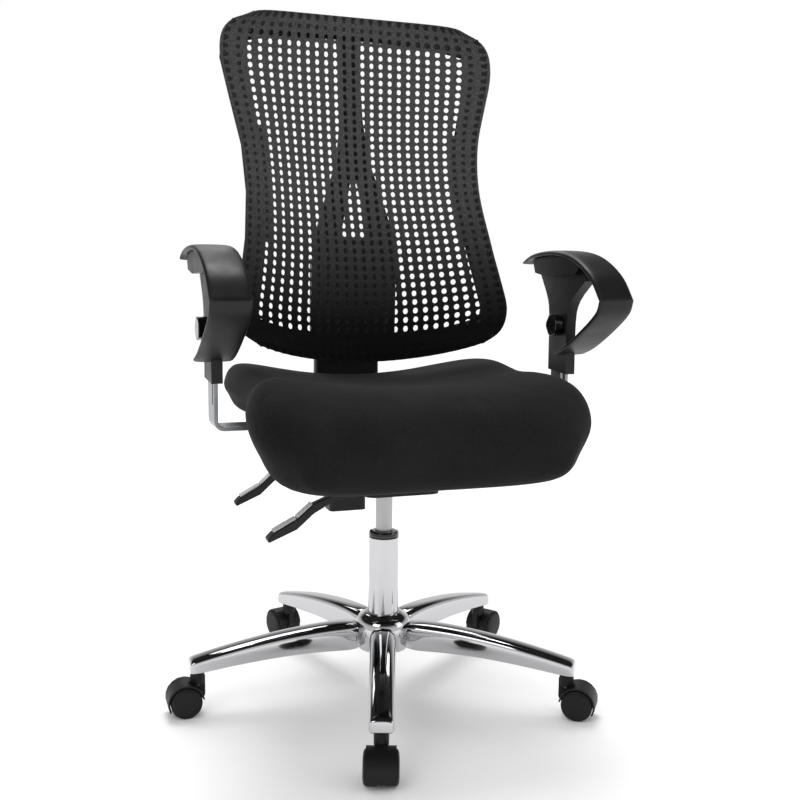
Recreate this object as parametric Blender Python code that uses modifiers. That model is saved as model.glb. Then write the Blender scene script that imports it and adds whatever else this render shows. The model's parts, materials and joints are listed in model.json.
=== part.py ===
"""Swivel office chair: five-arm base, gas lift, tilt mechanism, shaped seat, knit back, height-adjusted arms.

Metres, +Z up.  The sitter faces -Y, so -X is the sitter's right.  Every piece is placed relative to the
swivel axis, and the whole chair hangs on one empty that centres its box over the origin.
"""
import math

import bmesh
import bpy
from mathutils import Matrix, Vector

# ---------------------------------------------------------------- driving dimensions
AXIS_OFFSET = (0.0177, -0.0021, 0.0)     # swivel axis from the centre of the chair's footprint
GAP = 0.0003                          # clearance between pieces that touch
RUN = 0.0004                          # clearance of a running or sliding fit
HEIGHT_SETTING = -0.0115              # where the gas lift stands, from the middle of its stroke

ARMS = 5
STAR_TURN = math.radians(-109.3)      # direction of the first base arm
STEM_CIRCLE = 0.312                   # radius of the circle of caster stems
TIP_UNDERSIDE = 0.070
SOCKET_DEPTH = 0.0135                 # how far a caster's stem can enter the arm
HUB_TOP = 0.139
HUB_BOTTOM = 0.078

TUBE_R = 0.025
TUBE_WALL = 0.0025
TUBE_TOP = 0.2685
BUSH_TOP = 0.2785
BUSH_BOTTOM = 0.208
CYLINDER_R = 0.014
CYLINDER_BOTTOM = 0.165
CYLINDER_TOP = 0.398
ROD_R = 0.005
ROD_TOP = 0.288
RELEASE_R = 0.0040                    # the button on top of the cylinder that works its valve

WHEEL_R = 0.025
WHEEL_INNER = 0.0050
WHEEL_OUTER = 0.0260
TRAIL = 0.020
HOOD_HALF = 0.0215
CASTER_AXLE_R = 0.003
STEM_R = 0.005

HOUSING_X = 0.062
HOUSING_Y = (-0.100, 0.135)
HOUSING_Z = (0.369, 0.420)
SEAT_AXLE = (-0.085, 0.405)           # Y, Z of the seat's tilt axis
BACK_AXLE = (0.045, 0.395)            # Y, Z of the back's tilt axis
AXLE_R = 0.006
FLANGE_X = (0.066, 0.072)             # side plates that ride on the axles, outside the housing
TENSION_YZ = (-0.040, 0.388)          # axis shared by the recline spring and its hand wheel
TENSION_X = 0.0870                    # middle of the hand wheel

PAN_Z = (0.4873, 0.4963)
PAN_X = 0.190
PAN_Y = (-0.190, 0.165)

ARM_X = 0.2925                        # centre plane of the arm's bar and sleeve
ARM_BAR = (0.006, 0.050)              # thickness, width
ARM_BAR_Y = -0.053
LEG_Z = 0.484
BAR_TOP = 0.690
SLEEVE_T = 0.017
LOOP_X = 0.296
LOOP_W = 0.060
KNOB_YZ = (-0.065, 0.634)

BAR_Y = 0.2205                        # centre plane of the upright back bar
BAR_T = 0.008
BAR_W = 0.060
COVER_HALF = (0.060, 0.011)           # half width, half thickness of the bar's cover
MESH_T = 0.003
HOOP_W = 0.034
HOOP_T = 0.010

# ---------------------------------------------------------------- scene helpers


def clear_scene():
    for obj in list(bpy.data.objects):
        bpy.data.objects.remove(obj, do_unlink=True)


def new_collection(name):
    collection = bpy.data.collections.new(name)
    bpy.context.scene.collection.children.link(collection)
    return collection


def material(name, colour, roughness, metallic=0.0):
    mat = bpy.data.materials.new(name)
    mat.use_nodes = True
    shader = mat.node_tree.nodes["Principled BSDF"]
    shader.inputs["Base Color"].default_value = (*colour, 1.0)
    shader.inputs["Roughness"].default_value = roughness
    shader.inputs["Metallic"].default_value = metallic
    return mat


clear_scene()
PARTS = new_collection("swivel_office_chair")
CUTTERS = new_collection("cutters")
ROOT = bpy.data.objects.new("chair_axis", None)
ROOT.location = AXIS_OFFSET
PARTS.objects.link(ROOT)

CHROME = material("chrome", (0.80, 0.80, 0.82), 0.06, 1.0)
STEEL = material("steel", (0.55, 0.55, 0.56), 0.30, 1.0)
SATIN_STEEL = material("satin_steel", (0.45, 0.45, 0.46), 0.35, 1.0)
BLACK_STEEL = material("black_steel", (0.03, 0.03, 0.03), 0.45, 0.6)
BLACK_PLASTIC = material("black_plastic", (0.022, 0.022, 0.024), 0.45)
GLOSS_PLASTIC = material("gloss_plastic", (0.012, 0.012, 0.013), 0.12)
GREY_PLASTIC = material("grey_plastic", (0.42, 0.42, 0.43), 0.40)
SEAT_FABRIC = material("seat_fabric", (0.018, 0.018, 0.019), 0.90)
KNIT = material("knit", (0.016, 0.016, 0.017), 0.85)


def link(name, data, mat, at=(0.0, 0.0, 0.0), turn=(0.0, 0.0, 0.0)):
    """An object in the chair's collection, hung on the swivel axis."""
    obj = bpy.data.objects.new(name, data)
    obj.location = at
    obj.rotation_euler = turn
    obj.parent = ROOT
    if mat is not None:
        data.materials.append(mat)
    PARTS.objects.link(obj)
    return obj


def from_bmesh(name, bm, mat, at=(0.0, 0.0, 0.0), turn=(0.0, 0.0, 0.0)):
    bmesh.ops.recalc_face_normals(bm, faces=bm.faces[:])
    mesh = bpy.data.meshes.new(name)
    bm.to_mesh(mesh)
    bm.free()
    return link(name, mesh, mat, at, turn)


def pivot(obj, point):
    """Move a piece's origin onto its joint axis and leave the piece where it is."""
    obj.data.transform(Matrix.Translation(-Vector(point)))
    obj.location = point
    return obj


def cut(obj, cutter, operation="DIFFERENCE"):
    """Boolean a cutter into a piece; the cutter stays as a wire guide."""
    cutter.hide_render = True
    cutter.display_type = "WIRE"
    if cutter.name in PARTS.objects:
        PARTS.objects.unlink(cutter)
        CUTTERS.objects.link(cutter)
    boolean = obj.modifiers.new(operation.lower() + "_" + cutter.name, "BOOLEAN")
    boolean.operation = operation
    boolean.solver = "EXACT"
    boolean.object = cutter
    return obj


def turned(name, profile, mat, steps=24, closed=True, at=(0.0, 0.0, 0.0), turn=(0.0, 0.0, 0.0)):
    """A turned piece: (radius, height) points run down the outside, then back up the bore."""
    mesh = bpy.data.meshes.new(name)
    count = len(profile)
    edges = [(i, i + 1) for i in range(count - 1)]
    if closed:
        edges.append((count - 1, 0))
    mesh.from_pydata([(r, 0.0, z) for r, z in profile], edges, [])
    obj = link(name, mesh, mat, at, turn)
    screw = obj.modifiers.new("turn", "SCREW")
    screw.steps = screw.render_steps = steps
    screw.use_merge_vertices = True
    screw.merge_threshold = 0.00001
    return obj


def rod(name, radius, low, high, mat, steps=16, at=(0.0, 0.0, 0.0), turn=(0.0, 0.0, 0.0)):
    profile = [(0.0, high), (radius, high), (radius, low), (0.0, low)]
    return turned(name, profile, mat, steps, False, at, turn)


def rounded(corners, steps=3):
    """Outline points from (x, y, radius) corners, each corner an arc."""
    points = []
    count = len(corners)
    for i, (x, y, radius) in enumerate(corners):
        here = Vector((x, y))
        before = (Vector(corners[i - 1][:2]) - here).normalized()
        after = (Vector(corners[(i + 1) % count][:2]) - here).normalized()
        if radius <= 0.0:
            points.append((x, y))
            continue
        half = before.angle(after) / 2.0
        start = here + before * (radius / math.tan(half))
        centre = here + (before + after).normalized() * (radius / math.sin(half))
        first = start - centre
        sweep = (math.pi - 2.0 * half) * (1.0 if before.cross(after) < 0.0 else -1.0)
        for k in range(steps + 1):
            points.append(tuple(centre + Matrix.Rotation(sweep * k / steps, 2) @ first))
    return points


def box_outline(x0, x1, y0, y1, radius):
    return [(x0, y0, radius), (x1, y0, radius), (x1, y1, radius), (x0, y1, radius)]


def lobed_outline(radius, depth, lobes):
    """A round grip with shallow lobes, six points to a lobe."""
    angles = [math.tau * i / (6 * lobes) for i in range(6 * lobes)]
    radii = [radius + depth * math.cos(lobes * angle) for angle in angles]
    return [(r * math.cos(angle), r * math.sin(angle)) for r, angle in zip(radii, angles)]


def smooth_curve(points, steps=4):
    """Points on a Catmull-Rom curve through the given points."""
    ends = [Vector(points[0]) * 2 - Vector(points[1])]
    ends += [Vector(p) for p in points]
    ends += [Vector(points[-1]) * 2 - Vector(points[-2])]
    curve = []
    for i in range(1, len(ends) - 2):
        a, b, c, d = ends[i - 1:i + 3]
        for k in range(steps):
            t = k / steps
            curve.append(0.5 * (2 * b + (c - a) * t + (2 * a - 5 * b + 4 * c - d) * t * t
                                + (3 * b - a - 3 * c + d) * t ** 3))
    curve.append(Vector(points[-1]))
    return curve


def offset_path(path, distances):
    """A path shifted sideways by its own distance at each point."""
    shifted = []
    for i, (point, distance) in enumerate(zip(path, distances)):
        along = (path[min(i + 1, len(path) - 1)] - path[max(i - 1, 0)]).normalized()
        shifted.append(point + Vector((-along.y, along.x)) * distance)
    return shifted


XY = Matrix.Identity(4)
YZ = Matrix(((0, 0, 1, 0), (1, 0, 0, 0), (0, 1, 0, 0), (0, 0, 0, 1)))     # outline (y, z), depth along X
XZ = Matrix(((1, 0, 0, 0), (0, 0, -1, 0), (0, 1, 0, 0), (0, 0, 0, 1)))    # outline (x, z), depth along Y


def slab(name, outlines, depth, mat, plane=XY, centre=0.0):
    """A flat outline (with optional holes) drawn as a 2D curve, given a thickness, and made a mesh."""
    curve = bpy.data.curves.new(name, "CURVE")
    curve.dimensions = "2D"
    curve.fill_mode = "BOTH"
    curve.extrude = depth / 2.0
    for outline in outlines:
        spline = curve.splines.new("POLY")
        spline.points.add(len(outline) - 1)
        for point, (x, y) in zip(spline.points, outline):
            point.co = (x, y, 0.0, 1.0)
        spline.use_cyclic_u = True
    guide = bpy.data.objects.new(name + "_curve", curve)
    PARTS.objects.link(guide)
    graph = bpy.context.evaluated_depsgraph_get()
    mesh = bpy.data.meshes.new_from_object(guide.evaluated_get(graph))
    bpy.data.objects.remove(guide, do_unlink=True)
    bm = bmesh.new()
    bm.from_mesh(mesh)
    bmesh.ops.remove_doubles(bm, verts=bm.verts[:], dist=0.00001)
    bmesh.ops.transform(bm, matrix=plane @ Matrix.Translation((0.0, 0.0, centre)), verts=bm.verts[:])
    bpy.data.meshes.remove(mesh)
    return from_bmesh(name, bm, mat)


def loft(name, rings, mat, at=(0.0, 0.0, 0.0), turn=(0.0, 0.0, 0.0)):
    """A closed skin through rings of equal length, capped at both ends."""
    bm = bmesh.new()
    loops = [[bm.verts.new(p) for p in ring] for ring in rings]
    count = len(loops[0])
    for low, high in zip(loops, loops[1:]):
        for i in range(count):
            j = (i + 1) % count
            bm.faces.new((low[i], low[j], high[j], high[i]))
    bm.faces.new(loops[0][::-1])
    bm.faces.new(loops[-1])
    return from_bmesh(name, bm, mat, at, turn)


def side_name(base, side):
    return base + ("_left" if side > 0 else "_right")


# ---------------------------------------------------------------- base and casters


def star_arm(index):
    """One arched arm, from inside the hub to just past its caster stem."""
    stations = [                       # radius, half width, top, underside
        (0.030, 0.0230, 0.1270, 0.0800), (0.090, 0.0222, 0.1275, 0.0850), (0.160, 0.0208, 0.1215, 0.0850),
        (0.230, 0.0196, 0.1110, 0.0800), (0.288, 0.0186, 0.0990, 0.0730),
        (0.318, 0.0180, 0.0915, TIP_UNDERSIDE), (0.325, 0.0155, 0.0870, TIP_UNDERSIDE)]
    rings = []
    for radius, half, top, bottom in stations:
        ring = [(-half, bottom), (half, bottom), (half * 0.98, top - 0.011), (half * 0.86, top - 0.004),
                (half * 0.55, top), (-half * 0.55, top), (-half * 0.86, top - 0.004),
                (-half * 0.98, top - 0.011)]
        rings.append([(radius, y, z) for y, z in ring])
    return loft("star_arm_%d" % index, rings, None, turn=(0.0, 0.0, star_angle(index)))


def star_angle(index):
    return STAR_TURN + math.tau * index / ARMS


def stem_place(index):
    angle = star_angle(index)
    return (STEM_CIRCLE * math.cos(angle), STEM_CIRCLE * math.sin(angle), 0.0)


def make_base():
    hub = [(0.0285, HUB_TOP), (0.0335, 0.1365), (0.0440, 0.1290), (0.0470, 0.1100), (0.0440, 0.0820),
           (0.0360, HUB_BOTTOM), (TUBE_R + GAP, HUB_BOTTOM), (TUBE_R + GAP, HUB_TOP)]
    base = turned("star_base", hub, CHROME, steps=30)
    for k in range(ARMS):
        cut(base, star_arm(k), "UNION")
    bore = rod("star_bore_cut", TUBE_R + GAP, HUB_BOTTOM - 0.01, HUB_TOP + 0.01, None, steps=30)
    cut(base, bore)
    for k in range(ARMS):
        socket = rod("stem_socket_cut_%d" % k, STEM_R + RUN, TIP_UNDERSIDE - 0.01, TIP_UNDERSIDE + SOCKET_DEPTH,
                     None, steps=12, at=stem_place(k))
        cut(base, socket)


def make_column():
    inner = TUBE_R - TUBE_WALL
    foot = HUB_BOTTOM + 0.003
    tube = [(TUBE_R, TUBE_TOP), (TUBE_R, foot), (ROD_R + 0.0010, foot), (ROD_R + 0.0010, foot + 0.003),
            (inner, foot + 0.003), (inner, TUBE_TOP)]
    turned("column_tube", tube, CHROME, steps=30)
    bore = CYLINDER_R + RUN
    bush = [(TUBE_R - 0.0025, BUSH_TOP), (TUBE_R, BUSH_TOP - 0.0025), (TUBE_R, TUBE_TOP + GAP),
            (inner - GAP, TUBE_TOP + GAP), (inner - GAP, BUSH_BOTTOM), (bore, BUSH_BOTTOM), (bore, BUSH_TOP)]
    turned("column_bush", bush, GLOSS_PLASTIC, steps=30)
    race, bearing_r, bearing_h = foot + 0.003 + GAP, 0.0135, 0.007
    bearing = [(bearing_r, race + bearing_h), (bearing_r, race), (ROD_R + GAP, race),
               (ROD_R + GAP, race + bearing_h)]
    turned("thrust_bearing", bearing, STEEL, steps=20)
    shoulder, collar_r, collar_h = race + bearing_h + GAP, 0.009, 0.004
    rod_profile = [(0.0, ROD_TOP), (ROD_R, ROD_TOP), (ROD_R, shoulder + collar_h),
                   (collar_r, shoulder + collar_h), (collar_r, shoulder), (ROD_R, shoulder),
                   (ROD_R, foot - 0.001), (0.0, foot - 0.001)]
    turned("piston_rod", rod_profile, STEEL, steps=16, closed=False)


def make_gas_cylinder():
    socket, bore_end = CYLINDER_TOP - 0.012, CYLINDER_TOP - 0.026
    cone_r, cone_foot = CYLINDER_R - 0.001, 0.352
    # the skin runs from the release socket, over the outside and up the rod's bore
    profile = [(0.0, socket), (RELEASE_R + RUN, socket), (RELEASE_R + RUN, CYLINDER_TOP),
               (cone_r, CYLINDER_TOP), (CYLINDER_R, cone_foot), (CYLINDER_R, CYLINDER_BOTTOM),
               (ROD_R + RUN, CYLINDER_BOTTOM), (ROD_R + RUN, bore_end), (0.0, bore_end)]
    turned("gas_cylinder", profile, SATIN_STEEL, steps=24, closed=False)
    rod("release_button", RELEASE_R, socket + 0.006, CYLINDER_TOP + 0.006, STEEL, steps=12)


def caster_fender(name):
    """The hood's arch over both wheels, open to the floor."""
    outer, inner = WHEEL_R + 0.0042, WHEEL_R + 0.0014
    first, last, steps = math.radians(-28.0), math.radians(172.0), 10
    arc = [first + (last - first) * i / steps for i in range(steps + 1)]
    skin = [(TRAIL + outer * math.cos(a), WHEEL_R + outer * math.sin(a)) for a in arc]
    skin += [(TRAIL + inner * math.cos(a), WHEEL_R + inner * math.sin(a)) for a in reversed(arc)]
    return slab(name, [skin], 2 * HOOD_HALF, None, XZ)


def make_caster(index):
    place, angle = stem_place(index), star_angle(index)
    turn = (0.0, 0.0, angle)
    centre = (place[0] + TRAIL * math.cos(angle), place[1] + TRAIL * math.sin(angle), WHEEL_R)
    sideways = (math.pi / 2, 0.0, angle)           # local Z lies along the wheel's axle

    web = rounded([(-0.0115, 0.0640, 0.002), (-0.0115, 0.0300, 0.006), (0.0080, 0.0080, 0.006),
                   (0.0300, 0.0080, 0.010), (0.0420, 0.0250, 0.006), (0.0380, 0.0480, 0.006),
                   (0.0115, 0.0545, 0.004), (0.0115, 0.0640, 0.002)], 2)
    hood = slab("caster_hood_%d" % (index + 1), [web], 2 * (WHEEL_INNER - GAP), BLACK_PLASTIC, XZ)
    hood.location, hood.rotation_euler = place, turn
    fender = caster_fender("fender_%d" % index)
    fender.location, fender.rotation_euler = place, turn
    cut(hood, fender, "UNION")
    neck = rod("neck_%d" % index, 0.0110, 0.0500, TIP_UNDERSIDE - 0.0010, None, steps=16, at=place)
    cut(hood, neck, "UNION")
    stem_bore = rod("stem_bore_cut_%d" % index, STEM_R + GAP, 0.0460, 0.0800, None, steps=12, at=place)
    cut(hood, stem_bore)
    axle_bore = rod("axle_bore_cut_%d" % index, CASTER_AXLE_R + GAP, -0.02, 0.02, None, 12, centre, sideways)
    cut(hood, axle_bore)

    rod("caster_stem_%d" % (index + 1), STEM_R, 0.0465, TIP_UNDERSIDE + 0.0130, STEEL, steps=12, at=place)
    rod("caster_axle_%d" % (index + 1), CASTER_AXLE_R, -0.0225, 0.0225, STEEL, 12, centre, sideways)
    blind = -WHEEL_OUTER + 0.0025
    wheel = [(CASTER_AXLE_R + RUN, -WHEEL_INNER), (WHEEL_R - 0.0015, -WHEEL_INNER),
             (WHEEL_R, -WHEEL_INNER - 0.0020), (WHEEL_R, -WHEEL_OUTER + 0.0060),
             (WHEEL_R - 0.0030, -WHEEL_OUTER), (0.0, -WHEEL_OUTER), (0.0, blind), (CASTER_AXLE_R + RUN, blind)]
    for side, label in ((1, "a"), (-1, "b")):
        turned("caster_wheel_%s_%d" % (label, index + 1), wheel, BLACK_PLASTIC, 20, True, centre,
               (side * math.pi / 2, 0.0, angle))


# ---------------------------------------------------------------- mechanism


def make_housing():
    """An open-topped die-cast tray with a socket for the gas cylinder and bores for both axles."""
    low, high = HOUSING_Z
    tray = rounded(box_outline(-HOUSING_X, HOUSING_X, *HOUSING_Y, 0.016), 3)
    housing = slab("mechanism_housing", [tray], high - low, BLACK_STEEL, XY, (low + high) / 2)
    wall, floor = 0.004, 0.005
    hollow = rounded(box_outline(-HOUSING_X + wall, HOUSING_X - wall, HOUSING_Y[0] + wall,
                                 HOUSING_Y[1] - wall, 0.012), 3)
    depth = high - low - floor + 0.01
    cut(housing, slab("housing_hollow_cut", [hollow], depth, None, XY, low + floor + depth / 2))
    cut(housing, rod("cylinder_socket", 0.021, low + 0.002, 0.392, None, 24), "UNION")
    cut(housing, rod("cylinder_bore_cut", CYLINDER_R + GAP, low - 0.01, high, None, 24))
    for label, (y, z) in (("seat", SEAT_AXLE), ("back", BACK_AXLE)):
        along_x = (0.0, math.pi / 2, 0.0)
        cut(housing, rod(label + "_axle_bore_cut", AXLE_R + GAP, -0.08, 0.08, None, 14, (0.0, y, z), along_x))
        rod(label + "_axle", AXLE_R, -0.077, 0.077, STEEL, 14, (0.0, y, z), along_x)


def make_tension():
    """The recline spring lies ahead of the column; its hand wheel is on the sitter's left."""
    turns, radius, wire, steps = 4.0, 0.0115, 0.0016, 10
    centre_y, centre_z = TENSION_YZ
    first_x, last_x = -0.044, 0.044
    curve = bpy.data.curves.new("tension_spring", "CURVE")
    curve.dimensions = "3D"
    curve.bevel_depth = wire
    curve.bevel_resolution = 1
    curve.use_fill_caps = True
    spline = curve.splines.new("POLY")
    count = int(turns * steps)
    spline.points.add(count)
    for i, point in enumerate(spline.points):
        angle = math.tau * i / steps
        x = first_x + (last_x - first_x) * i / count
        point.co = (x, centre_y + radius * math.cos(angle), centre_z + radius * math.sin(angle), 1.0)
    link("tension_spring", curve, STEEL)
    wheel = slab("tension_knob", [lobed_outline(0.0165, 0.0018, 6)], 0.020, BLACK_PLASTIC, YZ, 0.0)
    shaft = rod("knob_shaft", 0.0045, HOUSING_X + GAP - TENSION_X, 0.0, None, 12,
                turn=(0.0, math.pi / 2, 0.0))
    cut(wheel, shaft, "UNION")
    wheel.location = (TENSION_X, centre_y, centre_z)
    shaft.location = wheel.location


def lever_outline(scale):
    """Side view (x, z) of a lever, hung from the top of its root so that lifting it clears its mounting."""
    top = [(0.0, 0.0), (-0.050, -0.0040), (-0.085, -0.0180), (-0.112, -0.0400), (-0.150, -0.0600),
           (-0.158, -0.0680)]
    under = [(-0.156, -0.0740), (-0.112, -0.0560), (-0.085, -0.0340), (-0.050, -0.0150), (0.0, -0.0100)]
    return [(x * scale, z) for x, z in top + under]


def make_lever(label, y, root_x, root_z, scale):
    paddle_w, stalk_w, inlay_w = 0.0200, 0.0140, 0.0150
    body = slab(label, [lever_outline(scale)], paddle_w, BLACK_PLASTIC, XZ)
    body.location = (root_x, y, root_z)
    for vertex in body.data.vertices:
        if vertex.co.x > -0.09 * scale:
            vertex.co.y *= stalk_w / paddle_w
    crease = (-0.1115 * scale, -0.0400)
    inlay = [(-0.0880 * scale, -0.0200), (crease[0], crease[1]), (-0.1480 * scale, -0.0590),
             (-0.1490 * scale, -0.0565), (crease[0], crease[1] + 0.0028), (-0.0880 * scale, -0.0172)]
    inlay = [(x, z + GAP * 2.0) for x, z in inlay]
    plate = slab(label + "_inlay", [inlay], inlay_w, GREY_PLASTIC, XZ)
    plate.location = body.location


def make_seat_carrier():
    """A pressed-steel yoke: a top plate under the pan with two flanges down to the front axle."""
    low, high = 0.4760, PAN_Z[0] - GAP
    plate = rounded(box_outline(-0.085, 0.085, -0.120, 0.120, 0.020), 3)
    carrier = slab("seat_carrier", [plate], high - low, BLACK_STEEL, XY, (low + high) / 2)
    y, z = SEAT_AXLE
    ear = rounded([(y - 0.014, z - 0.012, 0.010), (y + 0.014, z - 0.012, 0.010),
                   (y + 0.040, low + 0.004, 0.0), (y - 0.024, low + 0.004, 0.0)], 4)
    for side in (1, -1):
        middle = side * sum(FLANGE_X) / 2
        cut(carrier, slab("carrier_ear_%d" % (side + 1), [ear], FLANGE_X[1] - FLANGE_X[0], None, YZ,
                          middle), "UNION")
    cut(carrier, rod("carrier_bore_cut", AXLE_R + RUN, -0.09, 0.09, None, 14, (0.0, y, z),
                     (0.0, math.pi / 2, 0.0)))
    pivot(carrier, (0.0, y, z))


# ---------------------------------------------------------------- seat


def seat_ring(y, half, centre, crest, widest, bottom, foot):
    """One section across the cushion: dished in the middle, raised at the thighs, rolled over the sides."""
    right = [(0.00, centre), (0.42, centre + 0.30 * (crest - centre)), (0.83, crest), (0.95, crest - 0.011),
             (1.00, widest), (0.5 + 0.5 * foot + 0.02, (widest + bottom) / 2), (foot, bottom)]
    ring = [(half * x, z) for x, z in right]
    ring += [(0.0, bottom)]
    ring += [(-x, z) for x, z in reversed(ring[1:-1])]
    return [(x, y, z) for x, z in ring]


def make_seat():
    outline = rounded(box_outline(-PAN_X, PAN_X, *PAN_Y, 0.070), 5)
    slab("seat_pan", [outline], PAN_Z[1] - PAN_Z[0], BLACK_PLASTIC, XY, sum(PAN_Z) / 2)
    sections = [                       # y, half width, centre, crest, widest, underside, foot
        (-0.272, 0.190, 0.468, 0.466, 0.450, 0.430, 0.90), (-0.258, 0.222, 0.508, 0.503, 0.468, 0.410, 0.80),
        (-0.234, 0.254, 0.526, 0.527, 0.480, 0.404, 0.76), (-0.196, 0.267, 0.538, 0.546, 0.492, 0.410, 0.80),
        (-0.147, 0.264, 0.541, 0.557, 0.512, 0.444, 0.80), (-0.100, 0.252, 0.539, 0.558, 0.522, 0.482, 0.80),
        (-0.080, 0.249, 0.537, 0.557, 0.524, 0.4895, 0.80),
        (-0.020, 0.248, 0.534, 0.559, 0.526, 0.4895, 0.80),
        (0.050, 0.252, 0.532, 0.564, 0.531, 0.490, 0.80), (0.120, 0.250, 0.534, 0.563, 0.532, 0.491, 0.80),
        (0.170, 0.234, 0.537, 0.555, 0.528, 0.494, 0.82), (0.198, 0.202, 0.530, 0.538, 0.518, 0.500, 0.86)]
    cushion = loft("seat_cushion", [seat_ring(*section) for section in sections], SEAT_FABRIC)
    margin = 0.0010
    recess = rounded(box_outline(-PAN_X - margin, PAN_X + margin, PAN_Y[0] - margin, PAN_Y[1] + margin,
                                 0.070), 5)
    low, high = 0.380, PAN_Z[1] + GAP
    cut(cushion, slab("pan_recess_cut", [recess], high - low, None, XY, (low + high) / 2))


# ---------------------------------------------------------------- arms


def make_arm_bracket(side):
    """A flat steel bar: a leg under the seat pan, a bend, and an upright with an adjusting slot."""
    thick, wide = ARM_BAR
    inner, outer = ARM_X - thick / 2, ARM_X + thick / 2
    low, high = LEG_Z - thick / 2, LEG_Z + thick / 2
    bar = rounded([(0.100, low, 0.0), (outer, low, 0.015), (outer, BAR_TOP, 0.0), (inner, BAR_TOP, 0.0),
                   (inner, high, 0.009), (0.100, high, 0.0)], 5)
    bar = [(side * x, z) for x, z in bar]
    bracket = slab(side_name("arm_bracket", side), [bar], wide, STEEL, XZ, -ARM_BAR_Y)
    slot = rounded(box_outline(-0.0045, 0.0045, 0.520, BAR_TOP - 0.0055, 0.0044), 4)
    slot = [(KNOB_YZ[0] + y, z) for y, z in slot]
    cut(bracket, slab(side_name("bracket_slot_cut", side), [slot], 0.05, None, YZ, side * ARM_X))


LOOP_OUTER = [(0.049, 0.736), (0.010, 0.7525), (-0.062, 0.7575), (-0.130, 0.748), (-0.190, 0.719),
              (-0.226, 0.681)]
LOOP_LOWER = [(-0.226, 0.681), (-0.213, 0.656), (-0.164, 0.624), (-0.112, 0.597), (-0.072, 0.583)]


def make_arm(side):
    """The upright sleeve with its flared head, and the band that loops over it as pad and guard."""
    upper = smooth_curve(LOOP_OUTER, 4)
    lower = smooth_curve(LOOP_LOWER, 4)
    top_thick = [0.003 + 0.006 * min(1.0, i / 4.0) for i in range(len(upper))]
    under_upper = offset_path(upper, top_thick)
    under_lower = offset_path(lower, [0.007 - 0.0015 * i / len(lower) for i in range(len(lower))])
    meeting = (under_upper[-1] + under_lower[0]) / 2 + Vector((0.004, 0.0))
    under = under_upper[:-1] + [meeting] + under_lower[1:]
    band = [tuple(p) for p in upper + lower[1:]] + [tuple(p) for p in reversed(under)]
    loop = slab(side_name("arm_loop", side), [band], LOOP_W, BLACK_PLASTIC, YZ, side * LOOP_X)
    fork = rounded(box_outline(-0.0905, 0.0, 0.550, 0.640, 0.0), 1)
    cut(loop, slab(side_name("fork_cut", side), [fork], SLEEVE_T + 0.0012, None, YZ, side * ARM_X))

    sleeve = smooth_curve([(-0.0285, 0.5580), (-0.0270, 0.6400), (-0.0215, 0.6750), (0.0060, 0.7160)], 3)
    front = smooth_curve([(-0.1450, 0.7080), (-0.1020, 0.6750), (-0.0890, 0.6400), (-0.0890, 0.5540)], 3)
    head = [p + Vector((0.0, -0.0006)) for p in offset_path(upper, [t + GAP for t in top_thick])[3:14]]
    outline = [tuple(p) for p in sleeve] + [tuple(p) for p in head] + [tuple(p) for p in front]
    upright = slab(side_name("arm_upright", side), [outline], SLEEVE_T, BLACK_PLASTIC, YZ, side * ARM_X)
    block = [tuple(p) for p in head] + [(-0.128, 0.7180), (-0.030, 0.7140), (0.010, 0.7200)]
    cut(upright, slab(side_name("head_block", side), [block], 0.044, None, YZ, side * LOOP_X), "UNION")
    thick, wide = ARM_BAR[0] + 2 * RUN, ARM_BAR[1] + 2 * RUN
    channel = rounded(box_outline(-thick / 2, thick / 2, -wide / 2, wide / 2, 0.0), 1)
    channel = [(side * ARM_X + x, ARM_BAR_Y + y) for x, y in channel]
    cut(upright, slab(side_name("bar_channel_cut", side), [channel], 0.206, None, XY, 0.603))
    y, z = KNOB_YZ
    stud_turn = (0.0, math.pi / 2, 0.0)
    cut(upright, rod(side_name("stud_bore_cut", side), 0.0044, -0.02, 0.02, None, 12,
                     (side * ARM_X, y, z), stud_turn))
    make_arm_knob(side)


def make_arm_knob(side):
    """A lobed clamp knob with its threaded stud moulded in; both knobs face the sitter's right."""
    y, z = KNOB_YZ
    face = side * ARM_X - SLEEVE_T / 2 - GAP
    depth = 0.0165
    knob = slab(side_name("arm_knob", side), [lobed_outline(0.0172, 0.0010, 5)], depth, GLOSS_PLASTIC, YZ,
                -depth / 2)
    stud = rod(side_name("knob_stud", side), 0.0040, -0.003, SLEEVE_T - 0.001, None, 12, (0.0, 0.0, 0.0),
               (0.0, math.pi / 2, 0.0))
    cut(knob, stud, "UNION")
    knob.location = (face, y, z)
    stud.location = knob.location


# ---------------------------------------------------------------- back


def curve_value(table, z):
    """Smoothly interpolated value from (z, value) pairs in rising z."""
    if z <= table[0][0]:
        return table[0][1]
    for i in range(len(table) - 1):
        (z0, v0), (z1, v1) = table[i:i + 2]
        if z <= z1:
            before, after = table[max(i - 1, 0)], table[min(i + 2, len(table) - 1)]
            m0 = (v1 - before[1]) / (z1 - before[0]) * (z1 - z0)
            m1 = (after[1] - v0) / (after[0] - z0) * (z1 - z0)
            t = (z - z0) / (z1 - z0)
            return ((2 * t ** 3 - 3 * t * t + 1) * v0 + (t ** 3 - 2 * t * t + t) * m0
                    + (3 * t * t - 2 * t ** 3) * v1 + (t ** 3 - t * t) * m1)
    return table[-1][1]


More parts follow.
